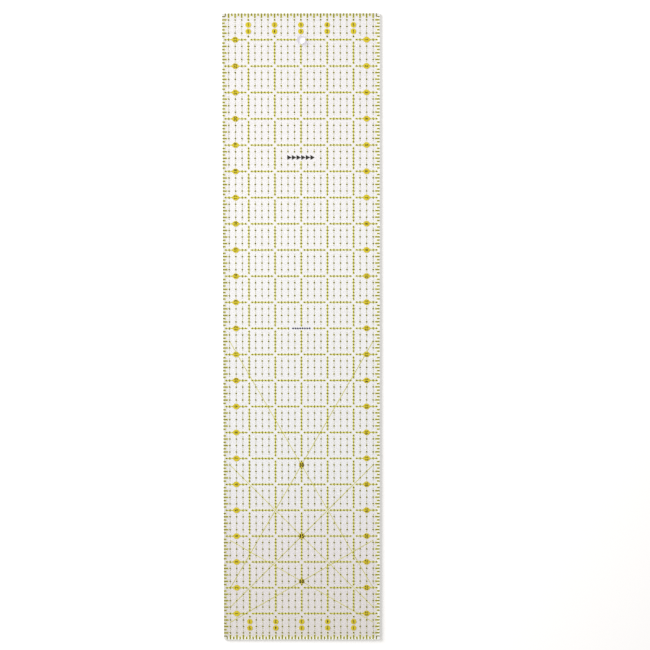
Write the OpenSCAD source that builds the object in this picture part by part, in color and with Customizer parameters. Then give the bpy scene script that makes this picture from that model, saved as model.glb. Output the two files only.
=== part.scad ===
// Quilting ruler: one clear acrylic sheet with its markings printed on the underside.
// X runs across the ruler, Y along it towards the hanging hole, Z up through the sheet.
// The origin is the middle of the underside.

/* [Sheet] */
// Whole inches across the ruler
inches_wide = 6; // [4:1:8]
// Whole inches along the ruler
inches_long = 24; // [18:1:30]
// Overall thickness, with the print and its coat
ruler_t = 3; // [2:0.1:5]
// Bevel round the top edge
arris = 0.2; // [0.05:0.05:0.5]
// Radius of the four corners
corner_r = 0.6; // [0.3:0.1:2]

/* [Hanging hole] */
// Diameter of the hole
hole_d = 7.9; // [5:0.1:9]
// Distance from the end of the ruler to the middle of the hole
hole_inset = 25.4; // [20:0.2:30]

/* [Print and coat] */
// Thickness of the clear coat over the print
coat_t = 0.1; // [0.05:0.01:0.2]
// Thickness of one film of ink
ink_t = 0.02; // [0.02:0.01:0.05]
// Clear margin between the coat or the print and the cut edges
print_margin = 0.1; // [0.1:0.05:0.5]
// How far the yellow ink shows past a black stroke on each side
rim = 0.5; // [0.2:0.05:0.5]

/* [Edge ticks] */
// Length of an eighth-inch tick
eighth_tick = 2; // [1.5:0.1:2.6]
// Length of a quarter-inch tick
quarter_tick = 4; // [3.2:0.1:5]
// Width of a black tick
tick_w = 0.55; // [0.3:0.05:0.8]
// Radius of the bend where the ticks meet in a corner of the ruler
corner_tick_r = 0.8; // [0.6:0.1:1.5]

/* [Grid] */
// Width of the yellow band under an inch line
band_w = 0.95; // [0.8:0.05:2]
// Diameter of the black dot at each odd eighth of an inch line
eighth_dot_d = 1.15; // [0.6:0.05:1.5]
// Diameter of the black dot at each quarter of an inch line
quarter_dot_d = 1.5; // [0.8:0.05:2]
// Diameter of the black dot where two quarter-inch lines cross
crossing_dot_d = 1.2; // [0.6:0.05:1.5]
// Width of the yellow thread along a quarter-inch line
thread_w = 0.15; // [0.1:0.05:0.5]

/* [Numbers] */
// Radius of the yellow disc behind a side number
side_disc_r = 2.9; // [2.4:0.1:3.2]
// Half the width of that disc, to the tips of its pointed sides
side_disc_tip = 4.1; // [3.4:0.1:4.6]
// Radius of the disc behind an end number
end_disc_r = 2.7; // [2.2:0.1:3]
// Height of a side or end number
digit_h = 3; // [2.4:0.1:3.2]
// Stroke width of a side or end number
digit_stroke = 0.5; // [0.2:0.05:0.5]

/* [Angle lines] */
// Width of a black angle line
angle_w = 0.1; // [0.1:0.05:0.6]
// Radius of the disc behind an angle number
angle_disc_r = 2.6; // [2.4:0.1:3.4]
// Height of an angle number
angle_digit_h = 3.9; // [3:0.1:4]
// Stroke width of an angle number
angle_stroke = 0.8; // [0.4:0.05:0.8]

/* [Motifs] */
// Number of triangles in the row of flying geese
geese = 6; // [2:1:8]
// Height of a goose triangle
goose_h = 4.6; // [2:0.2:5]
// Number of squares in the row of patches
patches = 8; // [3:1:10]
// Diagonal of a patch
patch_d = 2.1; // [1:0.1:2.2]

/* [Hidden] */
inch = 25.4;
eighth = inch / 8;
quarter = inch / 4;
ruler_w = inches_wide * inch;
ruler_l = inches_long * inch;

// Print films, counted up from the coat: yellow is behind black, so it lies lower.
yellow_line_film = 0;
yellow_thread_film = 1;
yellow_angle_film = 2;
black_line_film = 3;
black_angle_film = 4;
films = 5;
sheet_z = coat_t + films * ink_t;

// How far a yellow band, or a yellow thread, stays away from the inch lines that it crosses
band_gap = 0.07 * inch;
thread_gap = 0.13 * inch;
// Number of sides that a curve is drawn with
dot_sides = 24;
disc_sides = 48;
hole_sides = 96;
// Places along an end of the ruler, measured from that end
end_disc_places = [7 / 16 * inch, 11 / 16 * inch];
// Distance from a side to the middle of its column of numbers
side_disc_inset = inch / 2;

// One entry for each angle: degrees from the long edge, degrees from the short edge, inches up the ruler
angles = [[30, 60, 6.75], [45, 45, 4], [60, 30, 2.25]];
angle_inset = 0.25 * inch;
// Width of an angle number against its drawn width
angle_narrow = 0.72;

// The middles and half sizes of the two motifs, and the space kept clear round them
geese_y = 6.53 * inch;
geese_pitch = 4.5;
patches_y = 0;
patch_pitch = 2.3;
motif_clear = [[[0, geese_y], [geese * geese_pitch / 2 + 2.5, goose_h / 2 + 1.3]],
    [[0, patches_y], [patches * patch_pitch / 2 + 2.6, patch_d / 2 + 0.55]]];
hole_y = ruler_l / 2 - hole_inset;

function x_at(inches) = inches * inch - ruler_w / 2;
function y_at(inches) = inches * inch - ruler_l / 2;

// True where a mark of half size r at (x, y) keeps clear of the hole, the motifs and the angle numbers
function is_clear(x, y, r = 0.5) =
    norm([x, y - hole_y]) > hole_d / 2 + r
    && len([for (m = motif_clear)
        if (abs(x - m[0][0]) < m[1][0] + r && abs(y - m[0][1]) < m[1][1] + r) 1]) == 0
    && len([for (a = angles) if (norm([x, y - y_at(a[2])]) < angle_disc_r + r) 1]) == 0;

// ---- Helpers ----

// Prints a flat drawing as one film of ink
module print_film(film) {
    translate([0, 0, coat_t + film * ink_t]) linear_extrude(ink_t) children();
}

module bar(x, y, w, l) {
    translate([x, y]) square([w, l], center = true);
}

// Points along an oval arc. first is 1 where the point before it is already on the path.
function arc(cx, cy, rx, ry, from, to, first = 0, steps = 6) =
    [for (k = [first : steps])
        let (a = from + (to - from) * k / steps)
        [cx + rx * cos(a), cy + ry * sin(a)]];

function unit(v) = v / norm(v);
function left_of(v) = [-v[1], v[0]];

// How far, and which way, the edge of a stroke lies from point k of its path
function side_step(path, k, half) =
    let (
        last = len(path) - 1,
        before = unit(path[max(k, 1)] - path[max(k, 1) - 1]),
        after = unit(path[min(k, last - 1) + 1] - path[min(k, last - 1)]),
        normal = unit(left_of(before) + left_of(after))
    ) normal * half / (normal * left_of(before));

// A pen stroke of even width along a path
module stroke(path, half) {
    ahead = [for (k = [0 : len(path) - 1]) path[k] + side_step(path, k, half)];
    back = [for (k = [len(path) - 1 : -1 : 0]) path[k] - side_step(path, k, half)];
    polygon(concat(ahead, back));
}

function oval(cx, cy, rx, ry, sides) =
    [for (k = [1 : sides]) [cx + rx * cos(k * 360 / sides), cy + ry * sin(k * 360 / sides)]];

// An oval loop of the pen
module loop(cx, cy, rx, ry, half, sides = 12) {
    outer = oval(cx, cy, rx + half, ry + half, sides);
    inner = oval(cx, cy, rx - half, ry - half, sides);
    around = [for (k = [0 : sides - 1]) k];
    polygon(concat(outer, inner), paths = [around, [for (k = around) sides + k]]);
}

// One digit, drawn one unit high on a cell 0.56 wide, standing on the X axis
digit_w = 0.56;

module digit(n, half) {
    if (n == 0) loop(0.28, 0.5, 0.28, 0.5, half);
    if (n == 1) stroke([[0.1, 0.78], [0.34, 1], [0.34, -half]], half);
    if (n == 2) {
        stroke(concat(arc(0.28, 0.72, 0.28, 0.28, 175, -35), [[0.03, 0.01]]), half);
        stroke([[-0.03, 0], [0.58, 0]], half);
    }
    if (n == 3) {
        stroke(concat(arc(0.26, 0.76, 0.25, 0.24, 150, -90), [[0.14, 0.52]]), half);
        stroke(concat([[0.14, 0.52]], arc(0.26, 0.26, 0.29, 0.26, 90, -155)), half);
    }
    if (n == 4) {
        stroke([[0.6, 0.28], [0, 0.28], [0.42, 1 + half]], half);
        stroke([[0.42, 1 + half], [0.42, -half]], half);
    }
    if (n == 5) {
        stroke([[0.53, 1], [0.1, 1], [0.07, 0.5]], half);
        stroke(arc(0.25, 0.31, 0.31, 0.31, 130, -150), half);
    }
    if (n == 6 || n == 9)
        translate(n == 9 ? [digit_w, 1] : [0, 0]) rotate(n == 9 ? 180 : 0) {
            stroke(concat(arc(0.5, 0.3, 0.5, 0.68, 95, 180), arc(0.28, 0.3, 0.28, 0.3, 180, 360, 1)), half);
            stroke(arc(0.28, 0.3, 0.28, 0.3, 0, 155), half);
        }
    if (n == 7) stroke([[0, 1], [0.54, 1], [0.2, -half]], half);
    if (n == 8) {
        loop(0.28, 0.775, 0.23, 0.225, half);
        loop(0.28, 0.255, 0.28, 0.255, half);
    }
}

// A number of one or two digits, centred on (x, y). turn is anticlockwise, and narrow squeezes its width.
module number(n, x, y, h, stroke_w, turn = 0, narrow = 1) {
    values = n > 9 ? [floor(n / 10), n % 10] : [n];
    digits = len(values);
    body_h = h - stroke_w;
    half = stroke_w / body_h / 2;
    pitch = digit_w + 2 * half + 0.1;
    translate([x, y]) rotate(turn) scale([narrow * body_h, body_h])
        for (k = [0 : digits - 1])
            translate([(k - (digits - 1) / 2) * pitch - digit_w / 2, -0.5]) digit(values[k], half);
}

// ---- The sheet ----

module outline(w, l, r) {
    square([w - 2 * r, l], center = true);
    square([w, l - 2 * r], center = true);
    for (sx = [-1, 1], sy = [-1, 1])
        translate([sx * (w / 2 - r), sy * (l / 2 - r)]) circle(r, $fn = disc_sides);
}

// A long bar along Y whose two top edges are bevelled
module bevelled_bar(w, l) {
    rotate([90, 0, 0])
        linear_extrude(l + 2, center = true)
            polygon([[-w / 2, 0], [w / 2, 0], [w / 2, ruler_t - arris], [w / 2 - arris, ruler_t],
                [arris - w / 2, ruler_t], [-w / 2, ruler_t - arris]]);
}

module hanging_hole() {
    translate([0, hole_y, -1]) cylinder(h = ruler_t + 2, d = hole_d, $fn = hole_sides);
}

module acrylic_sheet() {
    color([0.9, 0.92, 0.9, 0.4])
        difference() {
            intersection() {
                translate([0, 0, sheet_z])
                    linear_extrude(ruler_t - sheet_z) outline(ruler_w, ruler_l, corner_r);
                bevelled_bar(ruler_w, ruler_l);
                rotate(90) bevelled_bar(ruler_l, ruler_w);
            }
            hanging_hole();
        }
}

module backing_coat() {
    color([0.95, 0.95, 0.92, 0.3])
        difference() {
            linear_extrude(coat_t)
                outline(ruler_w - 2 * print_margin, ruler_l - 2 * print_margin, corner_r);
            hanging_hole();
        }
}

// ---- Edge ticks ----

// Insets, from the side and from the end, of the bent stroke in each corner of the ruler
corner_path = concat([[print_margin, eighth]],
    arc(eighth - corner_tick_r, eighth - corner_tick_r, corner_tick_r, corner_tick_r, 90, 0),
    [[eighth, print_margin]]);

// grow widens the strokes and lengthens the ticks
module edge_ticks(grow) {
    w = tick_w + 2 * grow;
    for (side = [-1, 1]) {
        for (k = [2 : 8 * inches_long - 2])
            if (k % 8 != 0) {
                l = (k % 2 == 0 ? quarter_tick : eighth_tick) + grow - print_margin;
                bar(side * (ruler_w / 2 - print_margin - l / 2), y_at(k / 8), l, w);
            }
        for (k = [2 : 8 * inches_wide - 2]) {
            l = (k % 2 == 0 ? quarter_tick : eighth_tick) + grow - print_margin;
            bar(x_at(k / 8), side * (ruler_l / 2 - print_margin - l / 2), w, l);
        }
        for (end = [-1, 1])
            stroke([for (p = corner_path) [side * (ruler_w / 2 - p[0]), end * (ruler_l / 2 - p[1])]],
                tick_w / 2 + grow / 2);
    }
}

module yellow_edge_ticks() {
    color("gold") print_film(yellow_line_film) edge_ticks(rim);
}

module black_edge_ticks() {
    color("black") print_film(black_line_film) edge_ticks(0);
}

// ---- Inch lines ----

// One entry for each mark on an inch line: x, y, and whether it is one of the larger quarter marks.
// Up the ruler, the end inches keep two marks beside the end numbers. Across it, a side number takes three.
up_marks = [for (i = [1 : inches_wide - 1], k = [1 : 8 * inches_long - 1])
    let (from_end = min(k, 8 * inches_long - k))
    if (k % 8 != 0 && (from_end > 8 || from_end == 2 || from_end == 7) && is_clear(x_at(i), y_at(k / 8)))
        [x_at(i), y_at(k / 8), k % 2 == 0 && from_end > 8]];
across_marks = [for (j = [1 : inches_long - 1], k = [1 : 8 * inches_wide - 1])
    let (from_side = min(k, 8 * inches_wide - k))
    if (k % 8 != 0 && (from_side < 3 || from_side > 5) && is_clear(x_at(k / 8), y_at(j)))
        [x_at(k / 8), y_at(j), k % 2 == 0]];

// What the print leaves clear: the hanging hole, the motifs and the angle numbers
module reserved() {
    translate([0, hole_y]) circle(hole_d / 2 + 2 * print_margin, $fn = hole_sides);
    for (m = motif_clear) translate(m[0]) square(2 * m[1], center = true);
    for (a = angles) translate([0, y_at(a[2])]) circle(angle_disc_r + print_margin, $fn = disc_sides);
}

// The end inches have no band up the ruler, only a yellow dot under each mark
module inch_bands() {
    l = inch - 2 * band_gap;
    for (i = [1 : inches_wide - 1], j = [1 : inches_long - 2]) bar(x_at(i), y_at(j + 0.5), band_w, l);
    for (j = [1 : inches_long - 1], i = [0 : inches_wide - 1]) bar(x_at(i + 0.5), y_at(j), l, band_w);
    for (m = up_marks)
        if (abs(m[1]) > ruler_l / 2 - inch)
            translate([m[0], m[1]]) circle(d = eighth_dot_d + 2 * rim, $fn = dot_sides);
}

module yellow_inch_lines() {
    color("gold") print_film(yellow_line_film)
        difference() {
            inch_bands();
            reserved();
            side_discs();
        }
}

module black_inch_marks() {
    color("black") print_film(black_line_film)
        for (m = concat(up_marks, across_marks))
            translate([m[0], m[1]]) circle(d = m[2] ? quarter_dot_d : eighth_dot_d, $fn = dot_sides);
}

// ---- Quarter-inch lines ----

module yellow_quarter_lines() {
    color("gold") print_film(yellow_thread_film)
        difference() {
            for (q = [1 : 4 * inches_wide - 1], j = [0 : inches_long - 1])
                if (q % 4 != 0) {
                    low = max(y_at(j) + thread_gap, quarter - ruler_l / 2);
                    high = min(y_at(j + 1) - thread_gap, ruler_l / 2 - quarter);
                    bar(x_at(q / 4), (low + high) / 2, thread_w, high - low);
                }
            reserved();
        }
}

module black_quarter_marks() {
    color("black") print_film(black_line_film)
        for (q = [1 : 4 * inches_wide - 1], r = [1 : 4 * inches_long - 1])
            if (q % 4 != 0 && r % 4 != 0 && is_clear(x_at(q / 4), y_at(r / 4)))
                translate([x_at(q / 4), y_at(r / 4)]) circle(d = crossing_dot_d, $fn = dot_sides);
}

// ---- Numbers and their discs ----

// A disc with two pointed sides
module pointed_disc(r, tip) {
    circle(r, $fn = disc_sides);
    polygon([[tip, 0], [0, 0.9 * r], [-tip, 0], [0, -0.9 * r]]);
}

module side_discs() {
    for (side = [-1, 1], j = [1 : inches_long - 1])
        translate([side * (ruler_w / 2 - side_disc_inset), y_at(j)])
            pointed_disc(side_disc_r, side_disc_tip);
}

module end_discs() {
    for (end = [-1, 1], place = end_disc_places, i = [1 : inches_wide - 1])
        translate([x_at(i), end * (ruler_l / 2 - place)]) circle(end_disc_r, $fn = disc_sides);
}

module yellow_side_discs() {
    color("gold") print_film(yellow_line_film) side_discs();
}

module yellow_end_discs() {
    color("gold") print_film(yellow_line_film) end_discs();
}

// The left numbers count and read up the ruler from its foot, and the right ones down it from the hole end.
module black_left_numbers() {
    color("black") print_film(black_line_film)
        for (j = [1 : inches_long - 1])
            number(j, side_disc_inset - ruler_w / 2, y_at(j), digit_h, digit_stroke, 90);
}

module black_right_numbers() {
    color("black") print_film(black_line_film)
        for (j = [1 : inches_long - 1])
            number(inches_long - j, ruler_w / 2 - side_disc_inset, y_at(j), digit_h, digit_stroke, -90);
}

// The upper row at each end counts from the left, and the lower row from the right. At the foot they are
// upside down.
module black_end_numbers() {
    color("black") print_film(black_line_film)
        for (i = [1 : inches_wide - 1], end = [-1, 1], k = [0, 1])
            number((end == 1) == (k == 0) ? i : inches_wide - i, x_at(i),
                end * (ruler_l / 2 - end_disc_places[k]), digit_h, digit_stroke, end == 1 ? 0 : 180);
}

// ---- Angle lines ----

// Both lines of each angle, from quarter inch to quarter inch, open round the angle's number
module angle_lines(w) {
    difference() {
        for (a = angles, way = [-1, 1])
            translate([0, y_at(a[2])]) rotate(way * a[1])
                bar(0, 0, (ruler_w - 2 * angle_inset) / cos(a[1]), w);
        for (a = angles) translate([0, y_at(a[2])]) circle(angle_disc_r + print_margin, $fn = disc_sides);
    }
}

module yellow_angle_lines() {
    color("gold") print_film(yellow_angle_film) angle_lines(angle_w + rim);
}

module black_angle_lines() {
    color("black") print_film(black_angle_film) angle_lines(angle_w);
}

module yellow_angle_discs() {
    color("gold") print_film(yellow_angle_film)
        for (a = angles)
            translate([0, y_at(a[2])]) circle(angle_disc_r, $fn = disc_sides);
}

module black_angle_numbers() {
    color("black") print_film(black_angle_film)
        for (a = angles) number(a[0], 0, y_at(a[2]), angle_digit_h, angle_stroke, 0, angle_narrow);
}

// ---- Motifs ----

// A row of flying geese, a plain patchwork pattern
module black_geese_motif() {
    w = 0.94 * geese_pitch;
    color("black") print_film(black_line_film)
        for (k = [0 : geese - 1])
            translate([(k - (geese - 1) / 2) * geese_pitch, geese_y])
                polygon([[-w / 2, -goose_h / 2], [w / 2, 0], [-w / 2, goose_h / 2]]);
}

// A row of small patches set on point
module navy_patch_motif() {
    color("navy") print_film(black_line_film)
        for (k = [0 : patches - 1])
            translate([(k - (patches - 1) / 2) * patch_pitch, patches_y])
                rotate(45) square(patch_d / sqrt(2), center = true);
}

acrylic_sheet();
backing_coat();
yellow_edge_ticks();
black_edge_ticks();
yellow_inch_lines();
black_inch_marks();
yellow_quarter_lines();
black_quarter_marks();
yellow_side_discs();
black_left_numbers();
black_right_numbers();
yellow_end_discs();
black_end_numbers();
yellow_angle_lines();
black_angle_lines();
yellow_angle_discs();
black_angle_numbers();
black_geese_motif();
navy_patch_motif();
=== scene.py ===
"""Looks for the quilting ruler: a clear acrylic sheet over a print in yellow, black and navy ink.

The print is redrawn here in full detail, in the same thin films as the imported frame.
Drawing lengths are millimetres. X runs across the ruler, Y along it to the hanging hole, Z up.
"""

import math

import bpy
from mathutils import Matrix, Vector
from mathutils.geometry import tessellate_polygon


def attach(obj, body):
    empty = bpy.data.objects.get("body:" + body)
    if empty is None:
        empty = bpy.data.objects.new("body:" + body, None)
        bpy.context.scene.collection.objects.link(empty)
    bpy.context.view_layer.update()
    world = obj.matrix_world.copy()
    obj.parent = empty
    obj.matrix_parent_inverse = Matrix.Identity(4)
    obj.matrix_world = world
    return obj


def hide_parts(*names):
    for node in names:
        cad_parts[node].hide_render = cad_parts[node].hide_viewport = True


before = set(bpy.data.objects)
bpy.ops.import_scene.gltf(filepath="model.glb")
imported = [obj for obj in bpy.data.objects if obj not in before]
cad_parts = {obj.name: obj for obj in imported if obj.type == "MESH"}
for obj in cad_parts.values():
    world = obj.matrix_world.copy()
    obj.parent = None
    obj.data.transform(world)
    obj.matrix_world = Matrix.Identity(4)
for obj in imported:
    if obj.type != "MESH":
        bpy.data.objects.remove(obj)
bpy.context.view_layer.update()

# ---- Sizes, in millimetres ----

MM = 0.001
INCH = 25.4
EIGHTH, QUARTER = INCH / 8, INCH / 4
WIDE, LONG = 6, 24  # whole inches
RULER_W, RULER_L, RULER_T = WIDE * INCH, LONG * INCH, 3.0
CORNER_R, ARRIS = 0.6, 0.2
HOLE_R, HOLE_Y = 3.95, RULER_L / 2 - INCH
COAT_T, INK_T, FILMS = 0.1, 0.02, 5
SHEET_Z = COAT_T + FILMS * INK_T
MARGIN = 0.08  # clear strip between the print and the cut edges

# Films, counted up from the coat. Yellow lies under black, as the ruler is seen from above.
LINE_YELLOW, MARK_YELLOW, ANGLE_YELLOW, MARK_BLACK, ANGLE_BLACK = range(FILMS)


def x_at(inches):
    """Across the ruler, counted from its left side."""
    return inches * INCH - RULER_W / 2


def y_at(inches):
    """Along the ruler, counted from its foot."""
    return inches * INCH - RULER_L / 2


# ---- Flat drawing ----

TIP_CURVE = 1.6  # how hollow the flanks of a pointed disc are: 1 would be straight
MITRE_LIMIT = 0.45  # keeps the outside of a sharp bend in a stroke from running far out


class Print:
    """Flat prisms of one ink in one film, gathered into one mesh."""

    def __init__(self, film):
        self.low = COAT_T + film * INK_T
        self.high = self.low + INK_T
        self.verts, self.faces = [], []

    def outline(self, points):
        """A prism over one outline, given anticlockwise."""
        start, n = len(self.verts), len(points)
        self.verts += [(x, y, self.low) for x, y in points]
        self.verts += [(x, y, self.high) for x, y in points]
        self.faces.append([start + n + k for k in range(n)])
        self.faces.append([start + k for k in reversed(range(n))])
        for k in range(n):
            j = (k + 1) % n
            self.faces.append([start + k, start + j, start + n + j, start + n + k])

    def strip(self, left, right, closed=False):
        """A prism between two lines of points, as a pen stroke has."""
        start, n = len(self.verts), len(left)
        for (lx, ly), (rx, ry) in zip(left, right):
            self.verts += [(lx, ly, self.low), (rx, ry, self.low), (lx, ly, self.high), (rx, ry, self.high)]
        for k in range(n if closed else n - 1):
            a, b = start + 4 * k, start + 4 * ((k + 1) % n)
            self.faces += [[a + 2, a + 3, b + 3, b + 2], [a, b, b + 1, a + 1],
                           [a, a + 2, b + 2, b], [a + 1, b + 1, b + 3, a + 3]]
        if not closed:
            a, b = start, start + 4 * (n - 1)
            self.faces += [[a + 1, a + 3, a + 2, a], [b, b + 2, b + 3, b + 1]]

    def bar(self, x, y, w, l):
        """A straight bar w wide and l long, centred on (x, y)."""
        self.outline([(x - w / 2, y - l / 2), (x + w / 2, y - l / 2),
                      (x + w / 2, y + l / 2), (x - w / 2, y + l / 2)])

    def disc(self, x, y, r, sides, tip=None, turns=(0, math.pi), flank=0.62):
        """A disc. With a tip, its edge runs out to a point that far away at each of the turns.

        Each point's flanks take up that many radians on either side of it, and curve in towards it.
        """
        points = []
        for k in range(sides):
            a = 2 * math.pi * k / sides
            reach = r
            if tip:
                off = min(abs(math.remainder(a - t, 2 * math.pi)) for t in turns)
                reach += (tip - r) * max(0, 1 - off / flank) ** TIP_CURVE
            points.append((x + reach * math.cos(a), y + reach * math.sin(a)))
        self.outline(points)

    def oval(self, x, y, rx, ry, sides=14):
        """An oval, rx and ry being half its width and height."""
        turns = [2 * math.pi * k / sides for k in range(sides)]
        self.outline([(x + rx * math.cos(a), y + ry * math.sin(a)) for a in turns])

    def lens(self, x, y, rx, ry, sides=16):
        """An oval with pointed ends on its longer axis."""
        points = []
        for k in range(sides):
            c, s = math.cos(2 * math.pi * k / sides), math.sin(2 * math.pi * k / sides)
            if rx > ry:
                s *= abs(s)
            else:
                c *= abs(c)
            points.append((x + rx * c, y + ry * s))
        self.outline(points)

    def plus(self, x, y, w, l, arm):
        """A plus sign w wide and l high, with arms that wide."""
        h, half_w, half_l = arm / 2, w / 2, l / 2
        corner = [(half_w, -h), (half_w, h), (h, h), (h, half_l), (-h, half_l), (-h, h),
                  (-half_w, h), (-half_w, -h), (-h, -h), (-h, -half_l), (h, -half_l), (h, -h)]
        self.outline([(x + px, y + py) for px, py in corner])

    def stroke(self, path, half, closed=False):
        """A pen stroke of even width along a path."""
        n, left, right = len(path), [], []
        for k, p in enumerate(path):
            before = path[k - 1] if closed or k else None
            after = path[(k + 1) % n] if closed or k < n - 1 else None
            d1 = (Vector(p) - Vector(before)).normalized() if before else None
            d2 = (Vector(after) - Vector(p)).normalized() if after else None
            d1, d2 = d1 or d2, d2 or d1
            normal = Vector((-(d1 + d2).y, (d1 + d2).x)).normalized()
            step = normal * half / max(MITRE_LIMIT, normal.dot(Vector((-d1.y, d1.x))))
            left.append(tuple(Vector(p) + step))
            right.append(tuple(Vector(p) - step))
        self.strip(left, right, closed)

    def join(self, other):
        """Takes in what another film drew."""
        start = len(self.verts)
        self.verts += other.verts
        self.faces += [[start + v for v in face] for face in other.faces]

    def piece(self, name, slot, material, *nodes):
        """Makes the mesh, which stands for these CAD nodes."""
        mesh = bpy.data.meshes.new(name)
        mesh.from_pydata([(x * MM, y * MM, z * MM) for x, y, z in self.verts], [], self.faces)
        mesh.materials.append(material)
        mesh.update()
        made = bpy.data.objects.new(name, mesh)
        bpy.context.scene.collection.objects.link(made)
        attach(made, "root")
        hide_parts(*nodes)
        return made


def arc(cx, cy, rx, ry, start, end, steps=12):
    """Points along an oval arc, in degrees."""
    turns = [math.radians(start + (end - start) * k / steps) for k in range(steps + 1)]
    return [(cx + rx * math.cos(a), cy + ry * math.sin(a)) for a in turns]


DIGIT_W, DIGIT_SPACE = 0.56, 0.09  # cell and the space between two cells, for digits one unit high


def digit_strokes(n, h):
    """One digit as (path, closed) strokes, one unit high on a cell DIGIT_W wide. h is half a stroke."""
    if n == 0:
        return [(arc(0.28, 0.5, 0.28, 0.5, 0, 345, 23), True)]
    if n == 1:
        return [([(0.1, 0.78), (0.34, 1), (0.34, -h)], False)]
    if n == 2:
        return [(arc(0.28, 0.72, 0.28, 0.28, 175, -35) + [(0.03, 0.01)], False),
                ([(-0.03, 0), (0.58, 0)], False)]
    if n == 3:
        return [(arc(0.26, 0.76, 0.25, 0.24, 150, -90) + [(0.14, 0.52)], False),
                ([(0.14, 0.52)] + arc(0.26, 0.26, 0.29, 0.26, 90, -155), False)]
    if n == 4:
        return [([(0.6, 0.28), (0, 0.28), (0.42, 1 + h)], False), ([(0.42, 1 + h), (0.42, -h)], False)]
    if n == 5:
        return [([(0.53, 1), (0.1, 1), (0.07, 0.5)], False),
                (arc(0.25, 0.31, 0.31, 0.31, 130, -150), False)]
    if n == 6:
        return [(arc(0.5, 0.3, 0.5, 0.68, 95, 180) + arc(0.28, 0.3, 0.28, 0.3, 180, 525, 23)[1:], False)]
    if n == 7:
        return [([(0, 1), (0.54, 1), (0.2, -h)], False)]
    if n == 8:
        return [(arc(0.28, 0.775, 0.23, 0.225, 0, 345, 23), True),
                (arc(0.28, 0.255, 0.28, 0.255, 0, 345, 23), True)]
    # A nine is a six turned half round.
    return [([(DIGIT_W - x, 1 - y) for x, y in path], closed) for path, closed in digit_strokes(6, h)]


def number(ink, n, x, y, height, pen, narrow=1.0, turn=0):
    """A number of one or two digits, centred on (x, y) and turned anticlockwise by that many degrees."""
    body, digits = height - pen, [int(d) for d in str(n)]
    pitch = (DIGIT_W * narrow + pen / body + DIGIT_SPACE) * body
    c, s = math.cos(math.radians(turn)), math.sin(math.radians(turn))
    for k, d in enumerate(digits):
        middle = (k - (len(digits) - 1) / 2) * pitch
        for path, closed in digit_strokes(d, pen / body / 2):
            level = [(middle + (px - DIGIT_W / 2) * body * narrow, (py - 0.5) * body) for px, py in path]
            ink.stroke([(x + c * lx - s * ly, y + s * lx + c * ly) for lx, ly in level], pen / 2, closed)


# ---- Materials ----

ACRYLIC_IOR, FROST_IOR = 1.49, 1.3
MATT_IOR = 1.05  # inks, coat and paper: so low that, under the sheet, they have no gloss of their own


def new_material(name):
    """A material with an empty node tree."""
    made = bpy.data.materials.new(name)
    made.use_nodes = True
    made.node_tree.nodes.clear()
    return made


def node(tree, kind, inputs=None, **settings):
    """One shader node. An input is a value, or an output socket to link."""
    made = tree.nodes.new("ShaderNode" + kind)
    for key, value in settings.items():
        setattr(made, key, value)
    for key, value in (inputs or {}).items():
        if isinstance(value, bpy.types.NodeSocket):
            tree.links.new(value, made.inputs[key])
        else:
            made.inputs[key].default_value = value
    return made


def noise(tree, per_metre, detail=3, stretch=(1, 1, 1)):
    """Noise over the object, with about that many blots to a metre."""
    place = node(tree, "TexCoord").outputs["Object"]
    place = node(tree, "Mapping", {"Vector": place, "Scale": stretch}).outputs["Vector"]
    return node(tree, "TexNoise", {"Vector": place, "Scale": per_metre, "Detail": detail}).outputs["Fac"]


def spread(tree, source, low, high, start=0.3, end=0.7):
    """A noise drawn out to run from low to high."""
    return node(tree, "MapRange", {"Value": source, "From Min": start, "From Max": end,
                                   "To Min": low, "To Max": high}).outputs["Result"]


def blend(tree, factor, a, b):
    """A colour between a and b. Each is three values, or a socket."""
    mix = node(tree, "Mix", {"Factor": factor}, data_type="RGBA")
    for socket, value in ((mix.inputs[6], a), (mix.inputs[7], b)):
        if isinstance(value, bpy.types.NodeSocket):
            tree.links.new(value, socket)
        else:
            socket.default_value = (*value, 1)
    return mix.outputs[2]


def ramp(tree, source, *stops):
    """Colours that run into one another along a value.

    Each stop is a value and its colour. The stops at 0 and 1 come first.
    """
    made = node(tree, "ValToRGB", {"Fac": source})
    points = made.color_ramp.elements
    for k, (place, colour) in enumerate(stops):
        point = points[k] if k < 2 else points.new(place)
        point.position, point.color = place, (*colour, 1)
    return made.outputs["Color"]


def output(tree, surface):
    """Ends the tree with that surface."""
    node(tree, "OutputMaterial", {"Surface": surface})


HAIRLINE_SHADE = (0.88, 0.87, 0.70, 1)  # what a hairline leaves of the light from the lamps


def ink_material(name, thin, full, patchy, through=0.0, hairline=False):
    """Screen ink. Thin and full are its colours where it lies thin and thick.

    Patchy is its colour where it dried warmer, and through is the part of the light that comes through it.
    A hairline is too fine to shade the ink and the paper under it.
    """
    made = new_material(name)
    tree = made.node_tree
    grain = noise(tree, 1400, 4)
    cover = blend(tree, spread(tree, grain, 0, 1), thin, full)
    colour = blend(tree, spread(tree, noise(tree, 45, 2), 0, 0.6), cover, patchy)
    bump = node(tree, "Bump", {"Height": grain, "Strength": 0.25, "Distance": 0.00001}).outputs["Normal"]
    shader = node(tree, "BsdfPrincipled", {"Base Color": colour, "IOR": MATT_IOR, "Normal": bump,
                                           "Roughness": spread(tree, grain, 0.62, 0.42)}).outputs["BSDF"]
    if through:
        glow = node(tree, "BsdfTranslucent", {"Color": colour}).outputs["BSDF"]
        shader = node(tree, "MixShader", {0: through, 1: shader, 2: glow}).outputs[0]
    if hairline:
        shader = lamps_pass(tree, shader, HAIRLINE_SHADE)
    output(tree, shader)
    return made


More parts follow.
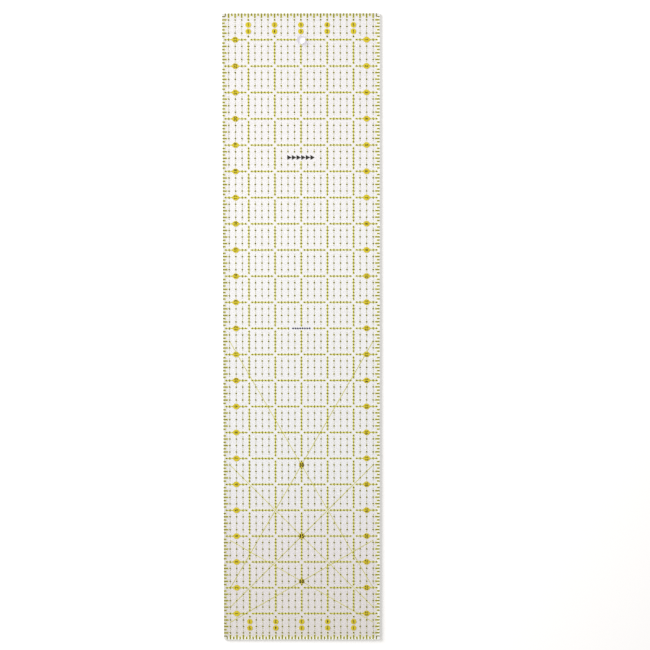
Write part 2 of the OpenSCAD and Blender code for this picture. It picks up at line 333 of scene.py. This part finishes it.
def lamps_pass(tree, surface, tint):
    """The surface, but light from the lamps goes straight through, so that it lights what is under it."""
    path = node(tree, "LightPath").outputs
    passing = node(tree, "Math", {0: path["Is Shadow Ray"], 1: path["Is Diffuse Ray"]}, operation="MAXIMUM")
    clear = node(tree, "BsdfTransparent", {"Color": tint}).outputs["BSDF"]
    return node(tree, "MixShader", {0: passing.outputs[0], 1: surface, 2: clear}).outputs[0]


def face_material():
    """The sheet's polished faces, with a little handling haze and faint scratches along the ruler."""
    made = new_material("acrylic_faces")
    tree = made.node_tree
    haze = noise(tree, 14, 3)
    scratch = noise(tree, 1, 2, stretch=(2600, 24, 900))
    bump = node(tree, "Bump", {"Height": scratch, "Strength": 0.06, "Distance": 0.00001}).outputs["Normal"]
    colour = blend(tree, haze, (0.985, 0.99, 0.985), (0.995, 0.995, 0.99))
    glass = node(tree, "BsdfPrincipled", {"Base Color": colour, "Roughness": spread(tree, haze, 0.0, 0.02),
                                          "IOR": ACRYLIC_IOR, "Transmission Weight": 1.0, "Normal": bump})
    output(tree, lamps_pass(tree, glass.outputs["BSDF"], (0.935, 0.935, 0.93, 1)))
    return made


def edge_material(name, outer, inner):
    """Cut acrylic, half frosted, with cutter marks up it.

    Outer tints the lamps' light where it goes in, and inner where it comes out again.
    """
    made = new_material(name)
    tree = made.node_tree
    marks = noise(tree, 1, 3, stretch=(2400, 2400, 60))
    bump = node(tree, "Bump", {"Height": marks, "Strength": 0.35, "Distance": 0.00003}).outputs["Normal"]
    colour = blend(tree, marks, (0.80, 0.86, 0.83), (0.94, 0.96, 0.93))
    glass = node(tree, "BsdfPrincipled", {"Base Color": colour, "Roughness": spread(tree, marks, 0.12, 0.36),
                                          "IOR": ACRYLIC_IOR, "Transmission Weight": 1.0, "Normal": bump})
    frost = node(tree, "BsdfPrincipled", {"Base Color": colour, "Roughness": 0.6, "IOR": FROST_IOR,
                                          "Normal": bump})
    satin = node(tree, "MixShader", {0: spread(tree, marks, 0.5, 0.8), 1: glass.outputs["BSDF"],
                                     2: frost.outputs["BSDF"]})
    inside = node(tree, "NewGeometry").outputs["Backfacing"]
    tint = blend(tree, inside, outer, inner)
    output(tree, lamps_pass(tree, satin.outputs[0], tint))
    return made


# Painted highlight: near the right and foot edges the coat's tint and painted shade fade out, which paints
# that strip of the sheet brighter.
EDGE_GLOW_FROM, EDGE_GLOW_TO = 0.0022, 0.0030  # metres from the edge over which the coat's tint comes in
# The coat's faint tint at the foot and the head, with painted shade that makes the sheet greyer towards both
# ends, most at the foot.
FOOT_TINT_AND_SHADE, HEAD_TINT_AND_SHADE = (0.940, 0.930, 0.928), (0.960, 0.957, 0.963)
# How far up the ruler, as a part of its length, and the tint there, with painted shade in it.
TINTS_AND_SHADE_BETWEEN = ((0.14, (0.957, 0.948, 0.958)), (0.26, (0.971, 0.973, 0.982)),
                 (0.66, (0.982, 0.982, 0.988)), (0.80, (0.977, 0.973, 0.981)))


def coat_material():
    """The clear coat over the print: hardly there, a faint tint with painted shade that makes it greyer at
    both ends, and a painted highlight that leaves it clear by the right and foot edges.
    """
    made = new_material("coat")
    tree = made.node_tree
    bloom = noise(tree, 30, 3)
    place = node(tree, "SeparateXYZ", {"Vector": node(tree, "TexCoord").outputs["Object"]}).outputs
    right = node(tree, "Math", {0: RULER_W / 2 * MM, 1: place["X"]}, operation="SUBTRACT").outputs[0]
    foot = node(tree, "Math", {0: RULER_L / 2 * MM, 1: place["Y"]}, operation="ADD").outputs[0]
    edge = node(tree, "Math", {0: right, 1: foot}, operation="MINIMUM").outputs[0]
    # Painted highlight by the right and foot edges: 1 at the edge, 0 further in.
    edge_glow = spread(tree, edge, 1, 0, EDGE_GLOW_FROM, EDGE_GLOW_TO)
    along = node(tree, "Math", {0: foot, 1: RULER_L * MM}, operation="DIVIDE").outputs[0]
    # Painted shade along the ruler: the coat's tint grades darker towards the foot and the head.
    tint = ramp(tree, along, (0, FOOT_TINT_AND_SHADE), (1, HEAD_TINT_AND_SHADE), *TINTS_AND_SHADE_BETWEEN)
    tint = blend(tree, edge_glow, tint, (1, 1, 1))
    colour = blend(tree, bloom, (0.86, 0.84, 0.81), (0.93, 0.91, 0.88))
    milk = node(tree, "BsdfPrincipled", {"Base Color": colour, "Roughness": spread(tree, bloom, 0.25, 0.4),
                                         "IOR": MATT_IOR})
    clear = node(tree, "BsdfTransparent", {"Color": tint}).outputs["BSDF"]
    output(tree, node(tree, "MixShader", {0: spread(tree, bloom, 0.03, 0.07), 1: clear,
                                          2: milk.outputs["BSDF"]}).outputs[0])
    return made


def floor_material():
    """Plain white paper with the faintest tooth."""
    made = new_material("floor_paper")
    tree = made.node_tree
    tooth = noise(tree, 260, 4)
    colour = blend(tree, tooth, (0.875, 0.87, 0.86), (0.885, 0.88, 0.87))
    output(tree, node(tree, "BsdfPrincipled", {"Base Color": colour, "IOR": MATT_IOR,
                                               "Roughness": spread(tree, tooth, 0.85, 0.95)}).outputs["BSDF"])
    return made


# Each ink's colour where it lies thin, where it lies thick and where it dried warmer.
YELLOW_TONES = (0.77, 0.74, 0.05), (0.70, 0.68, 0.02), (0.72, 0.66, 0.03)
THICK_TONES = (0.66, 0.56, 0.018), (0.58, 0.48, 0.006), (0.62, 0.45, 0.008)
BLACK_TONES = (0.016, 0.016, 0.015), (0.006, 0.006, 0.006), (0.018, 0.014, 0.010)
NAVY_TONES = (0.016, 0.020, 0.100), (0.008, 0.010, 0.060), (0.014, 0.014, 0.070)

YELLOW = ink_material("yellow_ink", *YELLOW_TONES, through=0.15)
HAIR_YELLOW = ink_material("yellow_ink_hairline", *YELLOW_TONES, through=0.15, hairline=True)
THICK_YELLOW = ink_material("yellow_ink_thick", *THICK_TONES)
BLACK = ink_material("black_ink", *BLACK_TONES)
HAIR_BLACK = ink_material("black_ink_hairline", *BLACK_TONES, hairline=True)
NAVY = ink_material("navy_ink", *NAVY_TONES)

# ---- The sheet ----

# Up the cut edge: how far in from the outline, and how high.
RIM = [(0.05, SHEET_Z), (0, SHEET_Z + 0.05), (0, RULER_T - ARRIS), (0.03, RULER_T - 0.1),
       (0.1, RULER_T - 0.03), (ARRIS, RULER_T)]
# Up the bore: how much wider than the hole, and how high.
BORE = [(0.08, SHEET_Z), (0, SHEET_Z + 0.08), (0, RULER_T - 0.12), (0.04, RULER_T - 0.04), (0.12, RULER_T)]
EDGE_TINTS = (0.50, 0.50, 0.49), (0.80, 0.80, 0.78)
BORE_TINTS = (0.50, 0.48, 0.55), (0.68, 0.66, 0.75)
SHARP_TURN = math.radians(10)  # faces that meet at more than this keep a crisp edge


def ring(inset):
    """The ruler's outline, that far in from its cut edge, anticlockwise."""
    r = CORNER_R - inset
    w, l = RULER_W / 2 - CORNER_R, RULER_L / 2 - CORNER_R
    points = []
    for sx, sy, start in ((1, -1, -90), (1, 1, 0), (-1, 1, 90), (-1, -1, 180)):
        points += arc(sx * w, sy * l, r, r, start, start + 90, 6)
    return points


def hole_ring(r, sides=96):
    """The hole's outline at that radius, anticlockwise."""
    return arc(0, HOLE_Y, r, r, 0, 360 - 360 / sides, sides - 1)


def build_sheet():
    """The cut sheet: flat faces, small rounded arrises and a drilled hole with eased edges."""
    verts, faces = [], []

    def loft(rings, inward):
        """A wall up through the rings, facing out, or inward for a bore. Gives each ring's place in verts."""
        starts = []
        for z, points in rings:
            starts.append((len(verts), len(points)))
            verts.extend((x, y, z) for x, y in points)
        for (a, n), (b, _) in zip(starts, starts[1:]):
            for k in range(n):
                j = (k + 1) % n
                quad = [a + k, a + j, b + j, b + k]
                faces.append(quad[::-1] if inward else quad)
        return starts

    outer = loft([(z, ring(inset)) for inset, z in RIM], False)
    edge_faces = len(faces)
    inner = loft([(z, hole_ring(HOLE_R + grow)) for grow, z in BORE], True)
    wall_faces = len(faces)
    # The flat faces: underneath, between the two bottom rings, and on top, between the two top rings.
    for level, up in ((0, False), (-1, True)):
        index = [s + k for s, n in (outer[level], inner[level]) for k in range(n)]
        loops, at = [], 0
        for _, n in (outer[level], inner[level]):
            loops.append([Vector(verts[i]) for i in index[at:at + n]])
            at += n
        for a, b, c in tessellate_polygon(loops):
            tri = [index[a], index[b], index[c]]
            p, q, r = (Vector(verts[i]) for i in tri)
            if ((q - p).cross(r - p).z > 0) != up:
                tri.reverse()
            faces.append(tri)
    mesh = bpy.data.meshes.new("sheet_clear")
    mesh.from_pydata([(x * MM, y * MM, z * MM) for x, y, z in verts], [], faces)
    mesh.materials.append(face_material())
    mesh.materials.append(edge_material("acrylic_edges", *EDGE_TINTS))
    mesh.materials.append(edge_material("acrylic_bore", *BORE_TINTS))
    for k, face in enumerate(mesh.polygons):
        face.material_index = 1 if k < edge_faces else 2 if k < wall_faces else 0
        face.use_smooth = True
    mesh.set_sharp_from_angle(angle=SHARP_TURN)
    mesh.update()
    made = bpy.data.objects.new("sheet_clear", mesh)
    bpy.context.scene.collection.objects.link(made)
    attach(made, "root")
    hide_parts("acrylic_sheet")


build_sheet()
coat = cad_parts["backing_coat"]
coat.data.materials.clear()
coat.data.materials.append(coat_material())

# ---- What the print keeps clear of ----

# Discs under the numbers: radius, how far a point reaches, and how far in from the edge they lie.
SIDE_DISC_R, SIDE_DISC_TIP, SIDE_DISC_INSET = 2.9, 4.1, INCH / 2
END_DISC_R, END_DISC_PLACES = 2.7, (7 / 16 * INCH, 11 / 16 * INCH)
ANGLE_DISC_R, ANGLE_DISC_TIP = 2.55, 3.3
ANGLES = ((30, 60, 6.75), (45, 45, 4.0), (60, 30, 2.25))  # number, degrees from the short edge, inches up
ANGLE_INSET = 0.25 * INCH
GEESE, GOOSE_PITCH, GOOSE_H, GEESE_Y = 6, 4.5, 4.6, 6.53 * INCH
PATCHES, PATCH_PITCH, PATCH_D = 8, 2.3, 2.1
MOTIF_ROOM = ((GEESE_Y, 16, 3.6), (0, 11.8, 1.6))  # middle, half width and half height of each clear box
HOLE_GAP = 0.5  # the bands stop this far from the hole
TIP_LAP = 0.4  # the band runs this far under the point of a side disc
SAME_LINE = 1  # a line that passes this near to the middle of the hole or a disc is taken to run through it


def is_clear(x, y, r=0.5):
    """True where a mark that size misses the hole, the motifs and the angle numbers."""
    if math.hypot(x, y - HOLE_Y) < HOLE_R + r:
        return False
    if any(abs(x) < w + r and abs(y - middle) < h + r for middle, w, h in MOTIF_ROOM):
        return False
    return all(math.hypot(x, y - y_at(up)) > ANGLE_DISC_R + r for _, _, up in ANGLES)


def motif_gaps(x):
    """Where the motifs' clear boxes cut the upright line at x."""
    return [(middle - h, middle + h) for middle, w, h in MOTIF_ROOM if abs(x) < w]


# ---- Edge ticks ----

TICK_W, TICK_RIM = 0.55, 0.5
EIGHTH_TICK, QUARTER_TICK = 2.2, 4.0
CORNER_BEND = 0.8  # radius of the bend where the ticks meet in a corner

yellow, black = Print(LINE_YELLOW), Print(MARK_BLACK)


def tick(ink, side, along, reach, w, lengthwise):
    """One tick, from the margin to that reach, on a long side or, if it runs lengthwise, at an end."""
    half = (RULER_L if lengthwise else RULER_W) / 2
    middle = side * (half - (MARGIN + reach) / 2)
    if lengthwise:
        ink.bar(along, middle, w, reach - MARGIN)
    else:
        ink.bar(middle, along, reach - MARGIN, w)


for lengthwise, inches, place in ((False, LONG, y_at), (True, WIDE, x_at)):
    last = 8 * inches - 1
    for side in (-1, 1):
        for k in range(2, last):
            if k % 8 == 0 and not lengthwise:
                continue  # the inch line itself runs to the long side
            reach = QUARTER_TICK if k % 2 == 0 else EIGHTH_TICK
            tick(black, side, place(k / 8), reach, TICK_W, lengthwise)
            tick(yellow, side, place(k / 8), reach + TICK_RIM, TICK_W + 2 * TICK_RIM, lengthwise)
bend_middle = EIGHTH - CORNER_BEND
bend = arc(bend_middle, bend_middle, CORNER_BEND, CORNER_BEND, 90, 0, 5)
for sx in (-1, 1):
    for sy in (-1, 1):
        corner = [(sx * (RULER_W / 2 - a), sy * (RULER_L / 2 - b))
                  for a, b in [(MARGIN, EIGHTH), *bend, (EIGHTH, MARGIN)]]
        black.stroke(corner, TICK_W / 2)
        yellow.stroke(corner, TICK_W / 2 + TICK_RIM / 2)
yellow.piece("print_edge_ticks_yellow", "yellow_ink", YELLOW, "yellow_edge_ticks")
black.piece("print_edge_ticks_black", "black_ink", BLACK, "black_edge_ticks")

# ---- Inch lines ----

BAND_W = 0.95
DOT_RIM = 0.35  # how far the yellow shows past a dot
CROSSING_GAP = 0.07 * INCH  # the band stops this far from where two inch lines cross
# Marks, across their line and along it. End dots lie beside a crossing. A lens is the yellow under a cross.
EIGHTH_DOT, END_DOT = (1.1, 1.2), (1.1, 1.15)
CROSS_ARM, CROSS_W, CROSS_L = 0.40, 2.5, 1.4
LENS_W, LENS_L = 3.0, 1.6
LAST_DOT_R, LAST_RIM = 0.65, (0.85, 1.1)  # dots in an upright line's end inches: radius, and half the rim

yellow, lenses, black = Print(LINE_YELLOW), Print(MARK_YELLOW), Print(MARK_BLACK)


def inch_mark(x, y, k, upright):
    """The mark k eighths along an inch line: a dot at an odd eighth, or a cross on a lens at a quarter."""
    quarter = k % 2 == 0
    across, along = (CROSS_W, CROSS_L) if quarter else END_DOT if k % 8 in (1, 7) else EIGHTH_DOT
    w, l = (across, along) if upright else (along, across)
    if quarter:
        lens = (LENS_W, LENS_L) if upright else (LENS_L, LENS_W)
        lenses.lens(x, y, lens[0] / 2, lens[1] / 2)
        black.plus(x, y, w, l, CROSS_ARM)
    else:
        black.oval(x, y, w / 2, l / 2)
        lenses.oval(x, y, w / 2 + DOT_RIM, l / 2 + DOT_RIM)


def band(a, b, fixed, upright):
    """A length of yellow band on an inch line, from a to b."""
    if upright:
        yellow.bar(fixed, (a + b) / 2, BAND_W, b - a)
    else:
        yellow.bar((a + b) / 2, fixed, b - a, BAND_W)


def open_spans(a, b, gaps):
    """What is left of a span once the gaps, given as (from, to), are taken out."""
    for low, high in sorted(gaps):
        if a < min(low, b):
            yield a, min(low, b)
        a = max(a, high)
    if a < b:
        yield a, b


for i in range(1, WIDE):
    x = x_at(i)
    for j in range(1, LONG - 1):
        low, high = y_at(j) + CROSSING_GAP, y_at(j + 1) - CROSSING_GAP
        gaps = motif_gaps(x)
        if i == WIDE // 2:
            gaps += [(y_at(up) - ANGLE_DISC_R, y_at(up) + ANGLE_DISC_R) for _, _, up in ANGLES]
            gaps.append((HOLE_Y - HOLE_R - HOLE_GAP, HOLE_Y + HOLE_R + HOLE_GAP))
        for a, b in open_spans(low, high, gaps):
            band(a, b, x, True)
    for k in range(1, 8 * LONG):
        from_end = min(k, 8 * LONG - k)
        if k % 8 == 0 or not is_clear(x, y_at(k / 8)):
            continue
        if from_end > 8:
            inch_mark(x, y_at(k / 8), k, True)
        elif from_end in (2, 7):  # the other places in an end inch hold ticks and numbers
            black.oval(x, y_at(k / 8), LAST_DOT_R, LAST_DOT_R)
            lenses.oval(x, y_at(k / 8), *LAST_RIM)

for j in range(1, LONG):
    y = y_at(j)
    for i in range(WIDE):
        low, high = x_at(i) + CROSSING_GAP, x_at(i + 1) - CROSSING_GAP
        gaps = [(-w, w) for middle, w, h in MOTIF_ROOM if abs(y - middle) < h]
        if abs(y - HOLE_Y) < SAME_LINE:
            gaps.append((-HOLE_R - HOLE_GAP, HOLE_R + HOLE_GAP))
        gaps += [(-ANGLE_DISC_R, ANGLE_DISC_R) for _, _, up in ANGLES if abs(y - y_at(up)) < SAME_LINE]
        for side in (-1, 1):
            middle = side * (RULER_W / 2 - SIDE_DISC_INSET)
            gaps.append((middle - SIDE_DISC_TIP + TIP_LAP, middle + SIDE_DISC_TIP - TIP_LAP))
        for a, b in open_spans(low, high, gaps):
            band(a, b, y, False)
    for k in range(1, 8 * WIDE):
        from_side = min(k, 8 * WIDE - k)
        under_disc = 3 <= from_side <= 5
        if k % 8 and not under_disc and is_clear(x_at(k / 8), y):
            inch_mark(x_at(k / 8), y, k, False)
yellow.join(lenses)
yellow.piece("print_inch_lines_yellow", "yellow_ink", YELLOW, "yellow_inch_lines")
black.piece("print_inch_marks_black", "black_ink", BLACK, "black_inch_marks")

# ---- Quarter-inch lines ----

THREAD_W, THREAD_GAP = 0.15, 0.13 * INCH  # the thread is open that far from each inch row
PLUS_W, PLUS_ARM = 1.45, 0.43
PLUS_RIM, ARM_RIM = 0.25, 0.35  # how much bigger the yellow plus sign is, and its arms wider
DASH_W, DASH_L = 0.7, 0.13
DASH_TWELFTHS = (2, 4, 5, 7, 8, 10)  # places between two inch rows

yellow, black = Print(MARK_YELLOW), Print(MARK_BLACK)
for q in range(1, 4 * WIDE):
    if q % 4 == 0:
        continue
    x = x_at(q / 4)
    gaps = motif_gaps(x)
    gaps += [(y_at(j) - THREAD_GAP, y_at(j) + THREAD_GAP) for j in range(1, LONG)]
    for a, b in open_spans(y_at(0) + QUARTER, y_at(LONG) - QUARTER, gaps):
        yellow.bar(x, (a + b) / 2, THREAD_W, b - a)
    for r in range(1, 4 * LONG):
        if r % 4 and is_clear(x, y_at(r / 4)):
            yellow.plus(x, y_at(r / 4), PLUS_W + PLUS_RIM, PLUS_W + PLUS_RIM, PLUS_ARM + ARM_RIM)
            black.plus(x, y_at(r / 4), PLUS_W, PLUS_W, PLUS_ARM)
    for j in range(LONG):
        for k in DASH_TWELFTHS:
            if is_clear(x, y_at(j + k / 12), 0.2):
                black.bar(x, y_at(j + k / 12), DASH_W, DASH_L)
yellow.piece("print_quarter_threads_yellow", "yellow_ink", YELLOW, "yellow_quarter_lines")
black.piece("print_quarter_marks_black", "black_ink", BLACK, "black_quarter_marks")

# ---- Numbers ----

SIDE_DIGIT_H, END_DIGIT_H, DIGIT_PEN = 3.1, 3.0, 0.5
ANGLE_DIGIT_H, ANGLE_PEN = 4.0, 0.8
END_NARROW, ANGLE_NARROW = 0.85, 0.72  # how much narrower than plain digits those are
POINTED_SIDES, ROUND_SIDES = 72, 48

discs, left, right = Print(LINE_YELLOW), Print(MARK_BLACK), Print(MARK_BLACK)
for j in range(1, LONG):
    for side, ink, n in ((-1, left, j), (1, right, LONG - j)):
        x = side * (RULER_W / 2 - SIDE_DISC_INSET)
        discs.disc(x, y_at(j), SIDE_DISC_R, POINTED_SIDES, SIDE_DISC_TIP)
        number(ink, n, x, y_at(j), SIDE_DIGIT_H, DIGIT_PEN, turn=-90 * side)
discs.piece("print_side_discs_yellow", "yellow_ink", THICK_YELLOW, "yellow_side_discs")
left.piece("print_left_numbers_black", "black_ink", BLACK, "black_left_numbers")
right.piece("print_right_numbers_black", "black_ink", BLACK, "black_right_numbers")

discs, digits = Print(MARK_YELLOW), Print(MARK_BLACK)
for i in range(1, WIDE):
    for end in (-1, 1):
        for k, place in enumerate(END_DISC_PLACES):
            y = end * (RULER_L / 2 - place)
            discs.disc(x_at(i), y, END_DISC_R, ROUND_SIDES)
            n = i if (end == 1) == (k == 0) else WIDE - i  # each end has a row counting from either side
            number(digits, n, x_at(i), y, END_DIGIT_H, DIGIT_PEN, END_NARROW, 0 if end == 1 else 180)
discs.piece("print_end_discs_yellow", "yellow_ink", THICK_YELLOW, "yellow_end_discs")
digits.piece("print_end_numbers_black", "black_ink", BLACK, "black_end_numbers")

# ---- Angle lines ----

ANGLE_W, ANGLE_RIM = 0.07, 0.22
LINE_GAP = 0.2  # from the disc to where its lines start
TIP_FLANK = 0.4  # on either side of each of an angle disc's four points, in radians

yellow, black = Print(ANGLE_YELLOW), Print(ANGLE_BLACK)
discs, digits = Print(ANGLE_YELLOW), Print(ANGLE_BLACK)
for n, degrees, up in ANGLES:
    reach = (RULER_W / 2 - ANGLE_INSET) / math.cos(math.radians(degrees))
    turns = [math.radians(t) for t in (degrees, 180 - degrees, 180 + degrees, -degrees)]
    middle = Vector((0, y_at(up)))
    for turn in turns:
        along = Vector((math.cos(turn), math.sin(turn)))
        line = [tuple(middle + along * (ANGLE_DISC_R + LINE_GAP)), tuple(middle + along * reach)]
        yellow.stroke(line, ANGLE_W / 2 + ANGLE_RIM)
        black.stroke(line, ANGLE_W / 2)
    discs.disc(0, y_at(up), ANGLE_DISC_R, POINTED_SIDES, ANGLE_DISC_TIP, turns, TIP_FLANK)
    number(digits, n, 0, y_at(up), ANGLE_DIGIT_H, ANGLE_PEN, ANGLE_NARROW)
yellow.piece("print_angle_lines_yellow", "yellow_ink", HAIR_YELLOW, "yellow_angle_lines")
black.piece("print_angle_lines_black", "black_ink", HAIR_BLACK, "black_angle_lines")
discs.piece("print_angle_discs_yellow", "yellow_ink", THICK_YELLOW, "yellow_angle_discs")
digits.piece("print_angle_numbers_black", "black_ink", BLACK, "black_angle_numbers")

# ---- Motifs ----

GOOSE_L = 0.94 * GOOSE_PITCH  # so that one triangle stops just short of the next

geese, patches = Print(MARK_BLACK), Print(MARK_BLACK)
for k in range(GEESE):
    x = (k - (GEESE - 1) / 2) * GOOSE_PITCH
    geese.outline([(x - GOOSE_L / 2, GEESE_Y - GOOSE_H / 2), (x + GOOSE_L / 2, GEESE_Y),
                   (x - GOOSE_L / 2, GEESE_Y + GOOSE_H / 2)])
for k in range(PATCHES):
    x, r = (k - (PATCHES - 1) / 2) * PATCH_PITCH, PATCH_D / 2
    patches.outline([(x + r, 0), (x, r), (x - r, 0), (x, -r)])
geese.piece("print_geese_black", "black_ink", BLACK, "black_geese_motif")
patches.piece("print_patches_navy", "navy_ink", NAVY, "navy_patch_motif")

# ---- Floor, light and camera, in metres ----

FLOOR_REACH = 8.0
FLOOR_Z = -0.00005  # just under the coat, so that the two surfaces don't share a plane

floor_corners = [(x * FLOOR_REACH, y * FLOOR_REACH, FLOOR_Z) for x, y in ((-1, -1), (1, -1), (1, 1), (-1, 1))]
floor_mesh = bpy.data.meshes.new("floor")
floor_mesh.from_pydata(floor_corners, [], [(0, 1, 2, 3)])
floor_mesh.materials.append(floor_material())
floor = bpy.data.objects.new("floor", floor_mesh)
bpy.context.scene.collection.objects.link(floor)


def soft_light(name, place, aim, size, watts, colour):
    """A round panel of light, turned towards aim."""
    lamp = bpy.data.lights.new(name, "AREA")
    lamp.shape, lamp.size, lamp.energy, lamp.color = "DISK", size, watts, colour
    made = bpy.data.objects.new(name, lamp)
    made.location = place
    made.rotation_euler = (Vector(aim) - Vector(place)).to_track_quat("-Z", "Y").to_euler()
    bpy.context.scene.collection.objects.link(made)


soft_light("key", place=(-2.3, 1.5, 1.75), aim=(0, 0.05, 0), size=2.3, watts=221, colour=(1.0, 1.0, 1.03))

ROOM_COLOUR, ROOM_STRENGTH = (1.0, 0.97, 0.90, 1), 0.367

world = bpy.data.worlds.new("studio")
world.use_nodes = True
world.node_tree.nodes["Background"].inputs["Color"].default_value = ROOM_COLOUR
world.node_tree.nodes["Background"].inputs["Strength"].default_value = ROOM_STRENGTH
bpy.context.scene.world = world
bpy.context.scene.view_settings.view_transform = "Standard"
bpy.context.scene.cycles.use_denoising = False

CAMERA_PLACE = Vector((0.0223, 0.1346, 2.4386))
CAMERA_AIM = Vector((0.0231, 0.0032, 0.001))
LENS, SENSOR = 139.05, 36.0  # millimetres
ROLL = math.radians(-0.0606)

lens = bpy.data.cameras.new("camera")
lens.lens, lens.sensor_width = LENS, SENSOR
lens.clip_start, lens.clip_end = 0.05, 50
camera = bpy.data.objects.new("camera", lens)
ahead = (CAMERA_AIM - CAMERA_PLACE).normalized()
side = ahead.cross(Vector((0, 1, 0))).normalized()
turned = Matrix((side, side.cross(ahead), -ahead)).transposed()
camera.matrix_world = Matrix.Translation(CAMERA_PLACE) @ turned.to_4x4() @ Matrix.Rotation(ROLL, 4, "Z")
bpy.context.scene.collection.objects.link(camera)
bpy.context.scene.camera = camera
